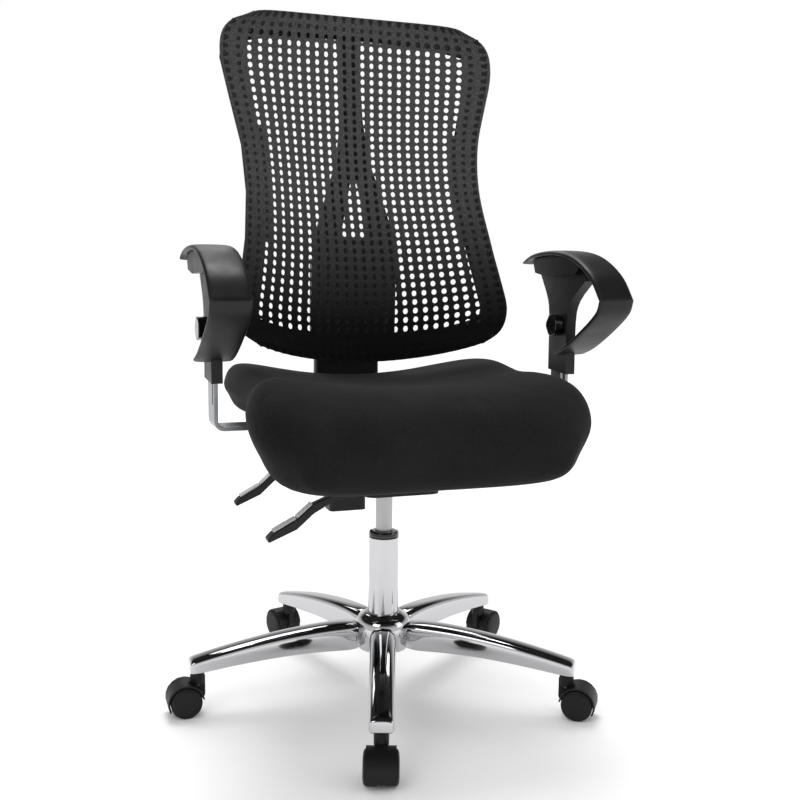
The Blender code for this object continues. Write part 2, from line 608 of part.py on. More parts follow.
# (height, value) tables: half width, edge, depth of the dish, and middle of the spine
BACK_HALF = [(0.600, 0.198), (0.612, 0.221), (0.632, 0.234), (0.660, 0.2385), (0.700, 0.2300), (0.760, 0.2180),
             (0.860, 0.2075), (0.940, 0.2130), (1.010, 0.2300), (1.050, 0.2400), (1.080, 0.2425),
             (1.106, 0.2380), (1.124, 0.2250), (1.136, 0.2040), (1.142, 0.1760)]
BACK_EDGE_Y = [(0.560, 0.040), (0.670, 0.043), (0.760, 0.064), (0.860, 0.102), (0.960, 0.128), (1.160, 0.150)]
BACK_DISH = [(0.560, 0.062), (0.700, 0.062), (0.860, 0.055), (1.000, 0.047), (1.160, 0.042)]
SPINE_Y = [(0.560, 0.177), (0.700, 0.172), (0.830, 0.178), (0.950, 0.193), (1.050, 0.207), (1.160, 0.2230)]
BACK_LOW, BACK_HIGH = BACK_HALF[0][0], BACK_HALF[-1][0]


def back_y(x, z):
    """The supporting surface: edges forward, middle dished back, lumbar forward of the shoulders."""
    across = min(1.0, abs(x) / curve_value(BACK_HALF, z))
    return curve_value(BACK_EDGE_Y, z) + curve_value(BACK_DISH, z) * (1.0 - across ** 2)


def back_point(across, side_z):
    """A point on the back from its position across (-1 to 1) and the height of its row at the edge."""
    up = (side_z - BACK_LOW) / (BACK_HIGH - BACK_LOW)
    bow = -0.037 * (1.0 - up) ** 3 + 0.015 * up ** 6
    x = across * curve_value(BACK_HALF, side_z)
    z = side_z + bow * (1.0 - across ** 2)
    return Vector((x, back_y(x, z), z))


def solidify(obj, thickness, offset=0.0):
    shell = obj.modifiers.new("thickness", "SOLIDIFY")
    shell.thickness = thickness
    shell.offset = offset
    shell.use_even_offset = False


def make_back_mesh():
    """The knit sheet, as a plain skin of the right curve."""
    rows = [BACK_LOW + (BACK_HIGH - BACK_LOW) * t
            for t in (0.0, 0.035, 0.10, 0.20, 0.34, 0.48, 0.62, 0.75, 0.87, 0.95, 1.0)]
    across = [i / 6.0 - 1.0 for i in range(13)]
    bm = bmesh.new()
    grid = [[bm.verts.new(back_point(s, z)) for s in across] for z in rows]
    for low, high in zip(grid, grid[1:]):
        for i in range(len(across) - 1):
            bm.faces.new((low[i], low[i + 1], high[i + 1], high[i]))
    sheet = from_bmesh("back_mesh", bm, KNIT)
    solidify(sheet, MESH_T)


def back_outline(inset):
    """Points round the back's edge, drawn in by an inset measured in the plane of the back."""
    sides = [BACK_LOW + (BACK_HIGH - BACK_LOW) * t
             for t in (0.0, 0.022, 0.055, 0.11, 0.20, 0.32, 0.46, 0.60, 0.74, 0.86, 0.94, 0.98, 1.0)]
    ring = [back_point(1.0, z) for z in sides]
    ring += [back_point(s, BACK_HIGH) for s in (0.6, 0.2, -0.2, -0.6)]
    ring += [back_point(-1.0, z) for z in reversed(sides)]
    ring += [back_point(s, BACK_LOW) for s in (-0.6, -0.2, 0.2, 0.6)]
    flat = [Vector((p.x, p.z)) for p in ring]
    moved = []
    for i, point in enumerate(flat):
        along = (flat[(i + 1) % len(flat)] - flat[i - 1]).normalized()
        inward = point + Vector((-along.y, along.x)) * inset
        moved.append((inward.x, back_y(inward.x, inward.y), inward.y))
    return moved


def make_back_frame():
    """The moulded hoop behind the edge of the knit."""
    behind = MESH_T / 2 + HOOP_T / 2 + 0.0060
    bm = bmesh.new()
    outer, inner = ([bm.verts.new((x, y + behind, z)) for x, y, z in back_outline(inset)]
                    for inset in (0.004, 0.004 + HOOP_W))
    count = len(outer)
    for i in range(count):
        j = (i + 1) % count
        bm.faces.new((outer[i], outer[j], inner[j], inner[i]))
    frame = from_bmesh("back_frame", bm, BLACK_PLASTIC)
    solidify(frame, HOOP_T)


def bend_back(obj, table, steps):
    """Slice a flat upright plate and shift the slices in Y so that it follows the spine's curve."""
    bm = bmesh.new()
    bm.from_mesh(obj.data)
    low = min(v.co.z for v in bm.verts)
    high = max(v.co.z for v in bm.verts)
    for i in range(1, steps):
        level = low + (high - low) * i / steps
        bmesh.ops.bisect_plane(bm, geom=bm.verts[:] + bm.edges[:] + bm.faces[:], dist=0.00001,
                               plane_co=(0.0, 0.0, level), plane_no=(0.0, 0.0, 1.0))
    for vertex in bm.verts:
        vertex.co.y += curve_value(table, vertex.co.z)
    bm.to_mesh(obj.data)
    bm.free()


def make_spine():
    """A plate that narrows upwards: solid over the lumbar, a wishbone round an opening, then one stem."""
    half = [(0.0760, 0.5780), (0.0760, 0.7300), (0.0690, 0.7900), (0.0500, 0.8500), (0.0300, 0.9100),
            (0.0200, 0.9800), (0.0180, 1.0600), (0.0230, 1.1400)]
    outline = half + [(-x, z) for x, z in reversed(half)]
    opening = rounded([(-0.0270, 0.7760, 0.008), (0.0270, 0.7760, 0.008), (0.0060, 0.8780, 0.005),
                       (-0.0060, 0.8780, 0.005)], 3)
    spine = slab("back_spine", [outline, opening], 0.0120, BLACK_PLASTIC, XZ)
    bend_back(spine, SPINE_Y, 8)
    foot = rounded(box_outline(-0.045, 0.045, 0.1205, 0.1780, 0.0), 1)
    cut(spine, slab("spine_foot", [foot], 0.0200, None, XY, 0.5960), "UNION")


def make_back_bar():
    """Two arms from the axle, welded to a T-shaped upright that carries the back."""
    y, z = BACK_AXLE
    foot, half = FLANGE_X[1], BAR_W / 2
    plate = [(-foot, 0.372), (foot, 0.372), (foot, 0.418), (half, 0.445), (half, 0.700), (-half, 0.700),
             (-half, 0.445), (-foot, 0.418)]
    bar = slab("back_bar", [plate], BAR_T, BLACK_STEEL, XZ, -BAR_Y)
    side = rounded([(y - 0.012, z - 0.012, 0.011), (BAR_Y, z - 0.012, 0.0), (BAR_Y, z + 0.012, 0.0),
                    (y - 0.012, z + 0.012, 0.011)], 4)
    for sign in (1, -1):
        middle = sign * sum(FLANGE_X) / 2
        cut(bar, slab("bar_side_%d" % (sign + 1), [side], FLANGE_X[1] - FLANGE_X[0], None, YZ, middle),
            "UNION")
    cut(bar, rod("bar_bore_cut", AXLE_R + RUN, -0.09, 0.09, None, 14, (0.0, y, z), (0.0, math.pi / 2, 0.0)))
    pivot(bar, (0.0, y, z))

    half_x, half_y = COVER_HALF
    shell = rounded(box_outline(-half_x, half_x, BAR_Y - half_y, BAR_Y + half_y, 0.006), 3)
    slot = rounded(box_outline(-half - GAP, half + GAP, BAR_Y - BAR_T / 2 - GAP, BAR_Y + BAR_T / 2 + GAP,
                               0.0), 1)
    slab("bar_cover", [shell, slot], 0.250, BLACK_PLASTIC, XY, 0.575)
    cap = rounded(box_outline(-0.035, 0.035, BAR_Y - 0.020, BAR_Y + 0.020, 0.008), 3)
    end_cap = slab("bar_end_cap", [cap], 0.0937, BLACK_PLASTIC, XY, 0.32485)
    room = rounded(box_outline(-0.031, 0.031, BAR_Y - 0.016, BAR_Y + 0.016, 0.005), 2)
    cut(end_cap, slab("end_cap_hollow_cut", [room], 0.10, None, XY, 0.334))


def make_back_sleeve():
    """The slide that rides on the bar's cover and lets the whole back be raised."""
    half_x, half_y = COVER_HALF
    wall, middle = 0.006, 0.665
    outer = rounded(box_outline(-half_x - wall, half_x + wall, BAR_Y - half_y - wall, BAR_Y + half_y + wall,
                                0.006), 3)
    inner = rounded(box_outline(-half_x - RUN, half_x + RUN, BAR_Y - half_y - RUN, BAR_Y + half_y + RUN,
                                0.006), 3)
    sleeve = slab("back_sleeve", [outer, inner], 0.150, BLACK_PLASTIC, XY, middle)
    web = rounded(box_outline(-0.040, 0.040, 0.1850, BAR_Y - half_y - 0.0040, 0.0), 1)
    cut(sleeve, slab("sleeve_web", [web], 0.120, None, XY, middle), "UNION")


make_base()
make_column()
for caster in range(ARMS):
    make_caster(caster)
STANDING = set(PARTS.objects) | set(CUTTERS.objects)
make_gas_cylinder()
make_housing()
make_tension()
make_lever("lift_lever", -0.090, -HOUSING_X - 0.0005, 0.3840, 1.0)
make_lever("tilt_lever", 0.147, -FLANGE_X[1] - 0.0005, 0.3890, 0.95)
make_seat_carrier()
make_seat()
for arm_side in (1, -1):
    make_arm_bracket(arm_side)
    make_arm(arm_side)
make_back_mesh()
make_back_frame()
make_spine()
make_back_bar()
make_back_sleeve()

LIFT = bpy.data.objects.new("gas_lift", None)      # everything above the base hangs at the lift's setting
LIFT.location = (0.0, 0.0, HEIGHT_SETTING)
LIFT.parent = ROOT
PARTS.objects.link(LIFT)
for piece in [*PARTS.objects, *CUTTERS.objects]:
    if piece not in STANDING and piece != LIFT:
        piece.parent = LIFT
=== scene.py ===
# %% [markdown]
# # A swivel office chair: the surfaces over a working frame
# The frame holds every hard part at its real size and place. This lesson gives those parts their
# finish, and makes anew the ones whose surface matters: the knit back, the stuffed seat, the chromed
# base, the arm bands and the wheels.

# %% Load the frame and note its box
import json
import math

import bmesh
import bpy
from mathutils import Matrix, Vector


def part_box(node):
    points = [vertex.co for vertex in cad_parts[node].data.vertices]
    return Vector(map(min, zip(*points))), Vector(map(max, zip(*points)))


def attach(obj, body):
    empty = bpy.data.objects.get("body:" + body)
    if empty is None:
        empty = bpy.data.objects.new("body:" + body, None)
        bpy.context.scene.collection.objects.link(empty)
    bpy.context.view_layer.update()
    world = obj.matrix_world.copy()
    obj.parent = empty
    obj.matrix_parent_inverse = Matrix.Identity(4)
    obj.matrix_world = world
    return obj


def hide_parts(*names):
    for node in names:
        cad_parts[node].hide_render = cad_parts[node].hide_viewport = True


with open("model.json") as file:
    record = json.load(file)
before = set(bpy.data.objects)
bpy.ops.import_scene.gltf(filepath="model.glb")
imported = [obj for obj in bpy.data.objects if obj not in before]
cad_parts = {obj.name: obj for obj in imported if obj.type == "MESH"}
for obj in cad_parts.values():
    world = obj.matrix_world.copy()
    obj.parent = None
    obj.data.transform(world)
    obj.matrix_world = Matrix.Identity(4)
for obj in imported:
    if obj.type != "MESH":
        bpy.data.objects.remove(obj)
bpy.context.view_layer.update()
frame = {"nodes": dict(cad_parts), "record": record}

RECORD = frame["record"]
BODY_OF = {node: body for body, nodes in RECORD["behaviour"]["bodies"].items() for node in nodes}
SLOT_OF = {part["node"]: part["material_slot"] for part in RECORD["subparts"]}
SWIVEL = next(joint for joint in RECORD["behaviour"]["joints"] if joint["name"] == "seat_swivel")["pos_m"]
LIFT = -0.0115                        # the gas lift's setting, from the middle of its stroke


def place(x, y, z, lift=LIFT):
    """A point measured from the swivel axis; everything above the base hangs at the lift's setting."""
    return Vector((SWIVEL[0] + x, SWIVEL[1] + y, z + lift))


# %% [markdown]
# ## Helpers for finishes
# Each finish is a node tree. Colours are written as sRGB hex, the way a paint chart gives them, and
# turned to linear light once. One function adds any node, with its settings and its links.

# %% Colour and node helpers
def linear(code):
    """Linear RGBA from an sRGB hex code such as #1B1B1D."""
    channels = [int(code[i:i + 2], 16) / 255.0 for i in (1, 3, 5)]
    return (*[c / 12.92 if c <= 0.04045 else ((c + 0.055) / 1.055) ** 2.4 for c in channels], 1.0)


def add(tree, kind, inputs=None, **settings):
    """Add a node; an input that is a socket is linked, and any other is set."""
    made = tree.nodes.new(kind)
    for key, value in settings.items():
        setattr(made, key, value)
    for key, value in (inputs or {}).items():
        if isinstance(value, bpy.types.NodeSocket):
            tree.links.new(value, made.inputs[key])
        else:
            made.inputs[key].default_value = value
    return made


def new_finish(name, colour, roughness, metallic=0.0, **sockets):
    """A material with its uniform values on the shader, and the Object coordinates its patterns read."""
    finish = bpy.data.materials.new(name)
    finish.use_nodes = True
    tree = finish.node_tree
    shader = tree.nodes["Principled BSDF"]
    values = {"Base Color": linear(colour), "Roughness": roughness, "Metallic": metallic}
    values.update({key.replace("_", " "): value for key, value in sockets.items()})
    for key, value in values.items():
        shader.inputs[key].default_value = value
    where = add(tree, "ShaderNodeTexCoord").outputs["Object"]
    return finish, tree, shader, where


def grain(tree, shader, where, size_mm, depth_mm, low, high):
    """Moulded or cast grain: fine noise lifts the surface, and roughness drifts between two values."""
    fine = add(tree, "ShaderNodeTexNoise", {"Vector": where, "Scale": 1000.0 / size_mm, "Detail": 3.0})
    bump = add(tree, "ShaderNodeBump", {"Height": fine.outputs["Fac"], "Strength": 0.5,
                                        "Distance": depth_mm / 1000.0})
    tree.links.new(bump.outputs["Normal"], shader.inputs["Normal"])
    broad = add(tree, "ShaderNodeTexNoise", {"Vector": where, "Scale": 22.0, "Detail": 4.0})
    drift = add(tree, "ShaderNodeMapRange", {"Value": broad.outputs["Fac"], "From Min": 0.3, "From Max": 0.7,
                                             "To Min": low, "To Max": high})
    tree.links.new(drift.outputs["Result"], shader.inputs["Roughness"])


# %% [markdown]
# ## Metals
# The base and the outer tube are chrome plate over polished metal: nearly a mirror, with a trace of
# haze. The gas cylinder is ground, so it shows fine rings round its axis. The arm brackets and small
# steel parts are zinc plated. The mechanism is powder coated, which leaves a fine orange peel.

# %% Metal finishes
chrome_plate, tree, shader, where = new_finish("chrome_plate", "#C6C6C8", 0.05, 1.0)
grain(tree, shader, where, 90.0, 0.01, 0.035, 0.075)

RING_SPACING = 0.0025                 # grinding rings, drawn coarser than real so that they show


def band_scale(spacing):
    """Scale that makes a Wave texture's bands repeat at this spacing in metres."""
    return math.tau / (20.0 * spacing)


ground_steel, tree, shader, where = new_finish("ground_steel", "#A6A7A9", 0.30, 1.0)
rings = add(tree, "ShaderNodeTexWave", {"Vector": where, "Scale": band_scale(RING_SPACING),
                                        "Distortion": 0.6},
            bands_direction="Z")
lift = add(tree, "ShaderNodeBump", {"Height": rings.outputs["Fac"], "Strength": 0.12, "Distance": 0.0002})
tree.links.new(lift.outputs["Normal"], shader.inputs["Normal"])

zinc_plate, tree, shader, where = new_finish("zinc_plated_steel", "#8E9093", 0.30, 1.0)
grain(tree, shader, where, 3.0, 0.03, 0.24, 0.38)

powder_coat, tree, shader, where = new_finish("black_powder_coat", "#141415", 0.50,
                                              Specular_IOR_Level=0.25)
grain(tree, shader, where, 1.8, 0.08, 0.42, 0.58)

# %% [markdown]
# ## Plastics
# The arms, covers and levers are moulded polypropylene and nylon with a spark-eroded grain, so
# highlights are broad and soft. The bush and the clamp knobs are polished in the mould. The lever
# inlays are satin grey ABS.

# %% Plastic finishes
moulded_black, tree, shader, where = new_finish("moulded_polypropylene", "#151516", 0.42,
                                                Specular_IOR_Level=0.30)
grain(tree, shader, where, 1.6, 0.06, 0.34, 0.50)

moulded_nylon, tree, shader, where = new_finish("moulded_nylon", "#121213", 0.48, Specular_IOR_Level=0.25)
grain(tree, shader, where, 2.0, 0.05, 0.40, 0.56)

polished_nylon, tree, shader, where = new_finish("polished_nylon", "#0B0B0C", 0.12, Coat_Weight=0.4,
                                                 Coat_Roughness=0.06)
grain(tree, shader, where, 40.0, 0.02, 0.09, 0.16)

grey_abs, tree, shader, where = new_finish("satin_grey_abs", "#B4B5B7", 0.35)
RIB_SPACING = 0.006                   # shallow moulded ribs across each inlay
ribs = add(tree, "ShaderNodeTexWave", {"Vector": where, "Scale": band_scale(RIB_SPACING)},
           bands_direction="X")
lift = add(tree, "ShaderNodeBump", {"Height": ribs.outputs["Fac"], "Strength": 0.35, "Distance": 0.0004})
tree.links.new(lift.outputs["Normal"], shader.inputs["Normal"])

charcoal_nylon, tree, shader, where = new_finish("charcoal_glass_filled_nylon", "#363638", 0.50,
                                                 Specular_IOR_Level=0.30)
grain(tree, shader, where, 1.6, 0.05, 0.44, 0.58)

# %% [markdown]
# ## Textiles
# The seat is a fine plain polyester weave. From across a room its threads merge into a soft grain, so
# it is drawn as fine slubs over a slow drift of tone. The back is a warp knit of thicker, hairier yarn.
# Sheen stands for the fibres that stand up and catch light at a grazing angle.

# %% Textile finishes
seat_weave, tree, shader, where = new_finish("polyester_weave", "#1A1A1B", 0.90, Sheen_Weight=0.05,
                                             Sheen_Roughness=0.5, Specular_IOR_Level=0.10)
slub = add(tree, "ShaderNodeTexNoise", {"Vector": where, "Scale": 420.0, "Detail": 2.0})
wear = add(tree, "ShaderNodeTexNoise", {"Vector": where, "Scale": 9.0, "Detail": 3.0})
blend = add(tree, "ShaderNodeMath", {0: slub.outputs["Fac"], 1: wear.outputs["Fac"]}, operation="ADD")
level = add(tree, "ShaderNodeMapRange", {"Value": blend.outputs["Value"], "From Min": 0.75,
                                         "From Max": 1.30})
tone = add(tree, "ShaderNodeMix", {"Factor": level.outputs["Result"], "A": linear("#101011"),
                                   "B": linear("#1C1C1D")}, data_type="RGBA")
tree.links.new(tone.outputs["Result"], shader.inputs["Base Color"])
lift = add(tree, "ShaderNodeBump", {"Height": slub.outputs["Fac"], "Strength": 0.35, "Distance": 0.0005})
tree.links.new(lift.outputs["Normal"], shader.inputs["Normal"])

SHADE_FULL_AT, SHADE_GONE_AT = 0.62, 0.84   # heights between which the painted shade on the yarn fades, from full below to none above


def knit_finish(name, dark, light):
    """Warp knit: a mottle from the hairy yarn, with painted shade that darkens it towards the foot of the
    back.
    """
    finish, tree, shader, where = new_finish(name, light, 0.90, Sheen_Weight=0.08, Sheen_Roughness=0.5,
                                             Specular_IOR_Level=0.15)
    mottle = add(tree, "ShaderNodeTexNoise", {"Vector": where, "Scale": 300.0, "Detail": 3.0})
    height = add(tree, "ShaderNodeSeparateXYZ", {"Vector": where}).outputs["Z"]
    # painted shade: the yarn's colour goes darker towards the foot of the back
    shade_by_height = add(tree, "ShaderNodeMapRange", {"Value": height, "From Min": SHADE_FULL_AT,
                                            "From Max": SHADE_GONE_AT})
    mixed = add(tree, "ShaderNodeMath", {0: shade_by_height.outputs["Result"], 1: mottle.outputs["Fac"]},
                operation="MULTIPLY")
    tone = add(tree, "ShaderNodeMix", {"Factor": mixed.outputs["Value"], "A": linear(dark),
                                       "B": linear(light)}, data_type="RGBA")
    tree.links.new(tone.outputs["Result"], shader.inputs["Base Color"])
    lift = add(tree, "ShaderNodeBump", {"Height": mottle.outputs["Fac"], "Strength": 0.5, "Distance": 0.0006})
    tree.links.new(lift.outputs["Normal"], shader.inputs["Normal"])
    return finish


knit_yarn = knit_finish("warp_knit_yarn", "#060606", "#58585A")
knit_shadow = knit_finish("warp_knit_closed_cell", "#040404", "#303031")

FINISHES = {"chrome": chrome_plate, "satin_steel": ground_steel, "steel": zinc_plate,
            "black_steel": powder_coat, "gloss_plastic": polished_nylon, "black_plastic": moulded_black,
            "grey_plastic": grey_abs, "seat_fabric": seat_weave, "knit": knit_yarn}
print("finishes", len(bpy.data.materials))


# %% [markdown]
# ## Helpers for shapes
# A new piece names the part it stands for, and from that it takes its body and its finish. Three ways
# of making a shape cover the chair. A copy of a frame part is merged and its edges rounded, for parts
# whose form is already right. A profile is spun, for round parts. A ring of points is extruded from
# station to station, for bands and arms.

# %% Shape helpers
def settle(piece, node, finish=None, more=()):
    """Give a finished piece its material, its body and the parts that it stands for."""
    if finish is not None or not piece.data.materials:
        piece.data.materials.clear()
        piece.data.materials.append(finish or FINISHES[SLOT_OF[node]])
    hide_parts(node, *more)
    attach(piece, BODY_OF[node])
    return piece


def to_object(bm, name, sharp=None):
    """Turn a bmesh into a smooth object at the origin, with edges steeper than `sharp` degrees kept crisp."""
    mesh = bpy.data.meshes.new(name)
    for face in bm.faces:
        face.smooth = True
    bm.to_mesh(mesh)
    bm.free()
    if sharp is not None:
        mesh.set_sharp_from_angle(angle=math.radians(sharp))
    piece = bpy.data.objects.new(name, mesh)
    bpy.context.scene.collection.objects.link(piece)
    return piece


def subdivide(piece, levels):
    smooth = piece.modifiers.new("smooth", "SUBSURF")
    smooth.levels = smooth.render_levels = levels


def soften(piece, width, angle=32.0, segments=3):
    edge = piece.modifiers.new("rounded edges", "BEVEL")
    edge.width = width
    edge.segments = segments
    edge.limit_method = "ANGLE"
    edge.angle_limit = math.radians(angle)
    edge.harden_normals = False
    normals = piece.modifiers.new("even shading", "WEIGHTED_NORMAL")
    normals.keep_sharp = True


def refine(node, name, width, finish=None, angle=32.0):
    """A copy of a frame part, merged and with its flat faces made whole, so that its edges can be rounded."""
    bm = bmesh.new()
    bm.from_mesh(frame["nodes"][node].data)
    bmesh.ops.remove_doubles(bm, verts=bm.verts[:], dist=0.00002)
    bmesh.ops.dissolve_limit(bm, angle_limit=math.radians(1.0), verts=bm.verts[:], edges=bm.edges[:])
    piece = to_object(bm, name, sharp=44.0)
    soften(piece, width, angle)
    return settle(piece, node, finish)


def spin(profile, centre, along, steps=64):
    """Turn (radius, height) points about an axis through `centre`; returns a closed bmesh."""
    bm = bmesh.new()
    verts = [bm.verts.new((radius, 0.0, height)) for radius, height in profile]
    edges = [bm.edges.new(pair) for pair in zip(verts, verts[1:])]
    bmesh.ops.spin(bm, geom=verts + edges, cent=(0.0, 0.0, 0.0), axis=(0.0, 0.0, 1.0), angle=math.tau,
                   steps=steps, use_merge=True)
    bmesh.ops.remove_doubles(bm, verts=bm.verts[:], dist=0.000005)
    bmesh.ops.recalc_face_normals(bm, faces=bm.faces[:])
    turn = Vector(along).to_track_quat("Z", "Y").to_matrix().to_4x4()
    bmesh.ops.transform(bm, matrix=Matrix.Translation(centre) @ turn, verts=bm.verts[:])
    return bm


def sweep(rings):
    """Extrude a closed ring of points from station to station and close both ends; returns a bmesh."""
    bm = bmesh.new()
    verts = [bm.verts.new(point) for point in rings[0]]
    edges = [bm.edges.new((verts[i - 1], verts[i])) for i in range(len(verts))]
    first = edges
    for ring in rings[1:]:
        grown = bmesh.ops.extrude_edge_only(bm, edges=edges)["geom"]
        twins = {tuple(v.co): v for v in grown if isinstance(v, bmesh.types.BMVert)}
        verts = [twins[tuple(v.co)] for v in verts]
        edges = [g for g in grown if isinstance(g, bmesh.types.BMEdge) and all(v in verts for v in g.verts)]
        for vert, point in zip(verts, ring):
            vert.co = point
    bmesh.ops.holes_fill(bm, edges=first + edges, sides=0)
    bmesh.ops.recalc_face_normals(bm, faces=bm.faces[:])
    return bm


def smooth_curve(points, steps):
    """Points on a Catmull-Rom curve through the given points."""
    ends = [Vector(points[0]) * 2 - Vector(points[1])]
    ends += [Vector(p) for p in points]
    ends += [Vector(points[-1]) * 2 - Vector(points[-2])]
    curve = []
    for i in range(1, len(ends) - 2):
        a, b, c, d = ends[i - 1:i + 3]
        for k in range(steps):
            t = k / steps
            curve.append(0.5 * (2 * b + (c - a) * t + (2 * a - 5 * b + 4 * c - d) * t * t
                                + (3 * b - a - 3 * c + d) * t ** 3))
    curve.append(Vector(points[-1]))
    return curve


# %% [markdown]
# ## Camera
# The chair was seen from in front and a little to the sitter's right, at about the height of the arms,
# with a slightly long lens. The floor is a plain pale sheet.

# %% Camera
camera_data = bpy.data.cameras.new("camera")
camera_data.lens = 47.59
camera = bpy.data.objects.new("camera", camera_data)
bpy.context.scene.collection.objects.link(camera)
YAW, PITCH, ROLL = (math.radians(angle) for angle in (-20.0, 82.74, 0.66))
turn = Matrix.Rotation(YAW, 4, "Z") @ Matrix.Rotation(PITCH, 4, "X") @ Matrix.Rotation(ROLL, 4, "Z")
camera.matrix_world = Matrix.Translation((-0.5503, -1.6343, 0.7185)) @ turn
bpy.context.scene.camera = camera

# %% [markdown]
# ## Light
# The room has two faces. Matt surfaces and the camera see an even white tent, so the floor runs into
# the background with no horizon. Mirrors see a bright horizon, which makes the sides of the arms pale,
# and a dark ceiling, which draws the black band along their crests. A broad top light, a little behind
# the chair, throws the pale shadows forward, and large soft lights give the black parts their gentle
# highlights.

# %% World, floor and lights
world = bpy.data.worlds.new("studio")
bpy.context.scene.world = world
world.use_nodes = True
tree = world.node_tree
tree.nodes.clear()
direction = add(tree, "ShaderNodeTexCoord").outputs["Generated"]
height = add(tree, "ShaderNodeSeparateXYZ", {"Vector": direction}).outputs["Z"]
room = add(tree, "ShaderNodeValToRGB", {"Fac": height})
room.color_ramp.elements[0].position = 0.22
room.color_ramp.elements[0].color = (0.78, 0.78, 0.78, 1.0)
room.color_ramp.elements[1].position = 0.50
room.color_ramp.elements[1].color = (0.02, 0.02, 0.02, 1.0)
walls = add(tree, "ShaderNodeBackground", {"Color": room.outputs["Color"], "Strength": 1.0})
even = add(tree, "ShaderNodeBackground", {"Color": (1.0, 1.0, 1.0, 1.0), "Strength": 0.80})
backdrop = add(tree, "ShaderNodeBackground", {"Color": (1.0, 1.0, 1.0, 1.0), "Strength": 1.0})
ray = add(tree, "ShaderNodeLightPath").outputs
lit = add(tree, "ShaderNodeMixShader", {0: ray["Is Glossy Ray"], 1: even.outputs[0], 2: walls.outputs[0]})
choice = add(tree, "ShaderNodeMixShader", {0: ray["Is Camera Ray"], 1: lit.outputs[0],
                                           2: backdrop.outputs[0]})
add(tree, "ShaderNodeOutputWorld", {"Surface": choice.outputs[0]})

floor_bm = bmesh.new()
bmesh.ops.create_grid(floor_bm, x_segments=1, y_segments=1, size=14.0)
floor = to_object(floor_bm, "floor")
floor_paper, tree, shader, where = new_finish("matt_paper_backdrop", "#F4F4F4", 0.9,
                                               Specular_IOR_Level=0.0)
floor.data.materials.append(floor_paper)


def soft_light(name, spot, aim, size, power):
    data = bpy.data.lights.new(name, "AREA")
    data.shape = "RECTANGLE"
    data.size, data.size_y = size
    data.energy = power
    light = bpy.data.objects.new(name, data)
    light.location = spot
    light.rotation_euler = (Vector(aim) - Vector(spot)).to_track_quat("-Z", "Y").to_euler()
    bpy.context.scene.collection.objects.link(light)


top_light = bpy.data.lights.new("top light through silk", "SUN")
top_light.energy = 1.25
top_light.angle = math.radians(24.0)
top = bpy.data.objects.new("top light through silk", top_light)
top.rotation_euler = Vector((-0.10, -0.42, -1.0)).to_track_quat("-Z", "Y").to_euler()
bpy.context.scene.collection.objects.link(top)

MIDDLE = (0.0, 0.0, 0.55)
soft_light("key softbox", (-2.6, -2.2, 2.6), MIDDLE, (2.0, 2.0), 30.0)
soft_light("fill softbox", (2.8, -1.8, 1.7), MIDDLE, (1.6, 2.0), 14.0)
soft_light("back softbox", (0.6, 2.8, 2.8), MIDDLE, (2.4, 1.2), 22.0)
bpy.context.scene.view_settings.view_transform = "Standard"

# %% [markdown]
# ## Star base
# On the real chair the base is a die casting, polished and chromed: five arched arms that grow out of a
# hub. Each arm is one ring of points extruded along nine stations and smoothed, so reflections run
# along it unbroken. The tips are drawn in at the last stations, which makes the blunt rounded nose.

# %% Star base
ARMS = 5
FIRST_ARM = math.radians(-109.3)
HUB = [(0.0253, 0.1390), (0.0285, 0.1395), (0.0330, 0.1372), (0.0400, 0.1335), (0.0452, 0.1270),
       (0.0470, 0.1120), (0.0462, 0.0960), (0.0440, 0.0830), (0.0420, 0.0792), (0.0360, 0.0780),
       (0.0253, 0.0780), (0.0253, 0.1390)]
ARM_STATIONS = [                      # radius, half width, crest, underside
    (0.030, 0.0230, 0.1275, 0.0800), (0.090, 0.0224, 0.1285, 0.0850), (0.160, 0.0210, 0.1225, 0.0850),
    (0.230, 0.0199, 0.1120, 0.0800), (0.288, 0.0189, 0.1000, 0.0730), (0.312, 0.0184, 0.0940, 0.0702),
    (0.320, 0.0180, 0.0918, 0.0700), (0.3243, 0.0166, 0.0890, 0.0702), (0.3250, 0.0140, 0.0850, 0.0712)]
ARM_SECTION = [                       # share of the half width, share of the height from underside to crest
    (-0.94, 0.00), (0.94, 0.00), (1.00, 0.04), (0.995, 0.40), (0.98, 0.72), (0.90, 0.88), (0.62, 0.985),
    (0.0, 1.0), (-0.62, 0.985), (-0.90, 0.88), (-0.98, 0.72), (-0.995, 0.40), (-1.00, 0.04)]


def arm_direction(index):
    return FIRST_ARM + math.tau * index / ARMS


def base_arm(index):
    """The rings of one arm, turned to its direction."""
    cos, sin = math.cos(arm_direction(index)), math.sin(arm_direction(index))
    rings = []
    for radius, half, crest, under in ARM_STATIONS:
        ring = []
        for across, up in ARM_SECTION:
            side = across * half
            point = (radius * cos - side * sin, radius * sin + side * cos, under + (crest - under) * up)
            ring.append(place(*point, lift=0.0))
        rings.append(ring)
    return rings


star = spin(HUB, place(0.0, 0.0, 0.0, lift=0.0), (0.0, 0.0, 1.0), 96)
hub_piece = to_object(star, "hub_polished", sharp=50.0)
arm_mesh = bpy.data.meshes.new("arms")
star = bmesh.new()
for index in range(ARMS):
    arm = sweep(base_arm(index))
    arm.to_mesh(arm_mesh)
    arm.free()
    star.from_mesh(arm_mesh)
star_arms = to_object(star, "star_arms_polished")
subdivide(star_arms, 3)
settle(star_arms, "star_base")
hub_piece.data.materials.append(chrome_plate)
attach(hub_piece, "base")
print("star base arms", ARMS)

# %% [markdown]
# ## Column
# The outer tube is chromed, with a glossy black guide bush pressed into its top and the ground gas
# cylinder sliding in it. All three are round, so each is a profile spun about the swivel axis, fine
# enough that no facets show.

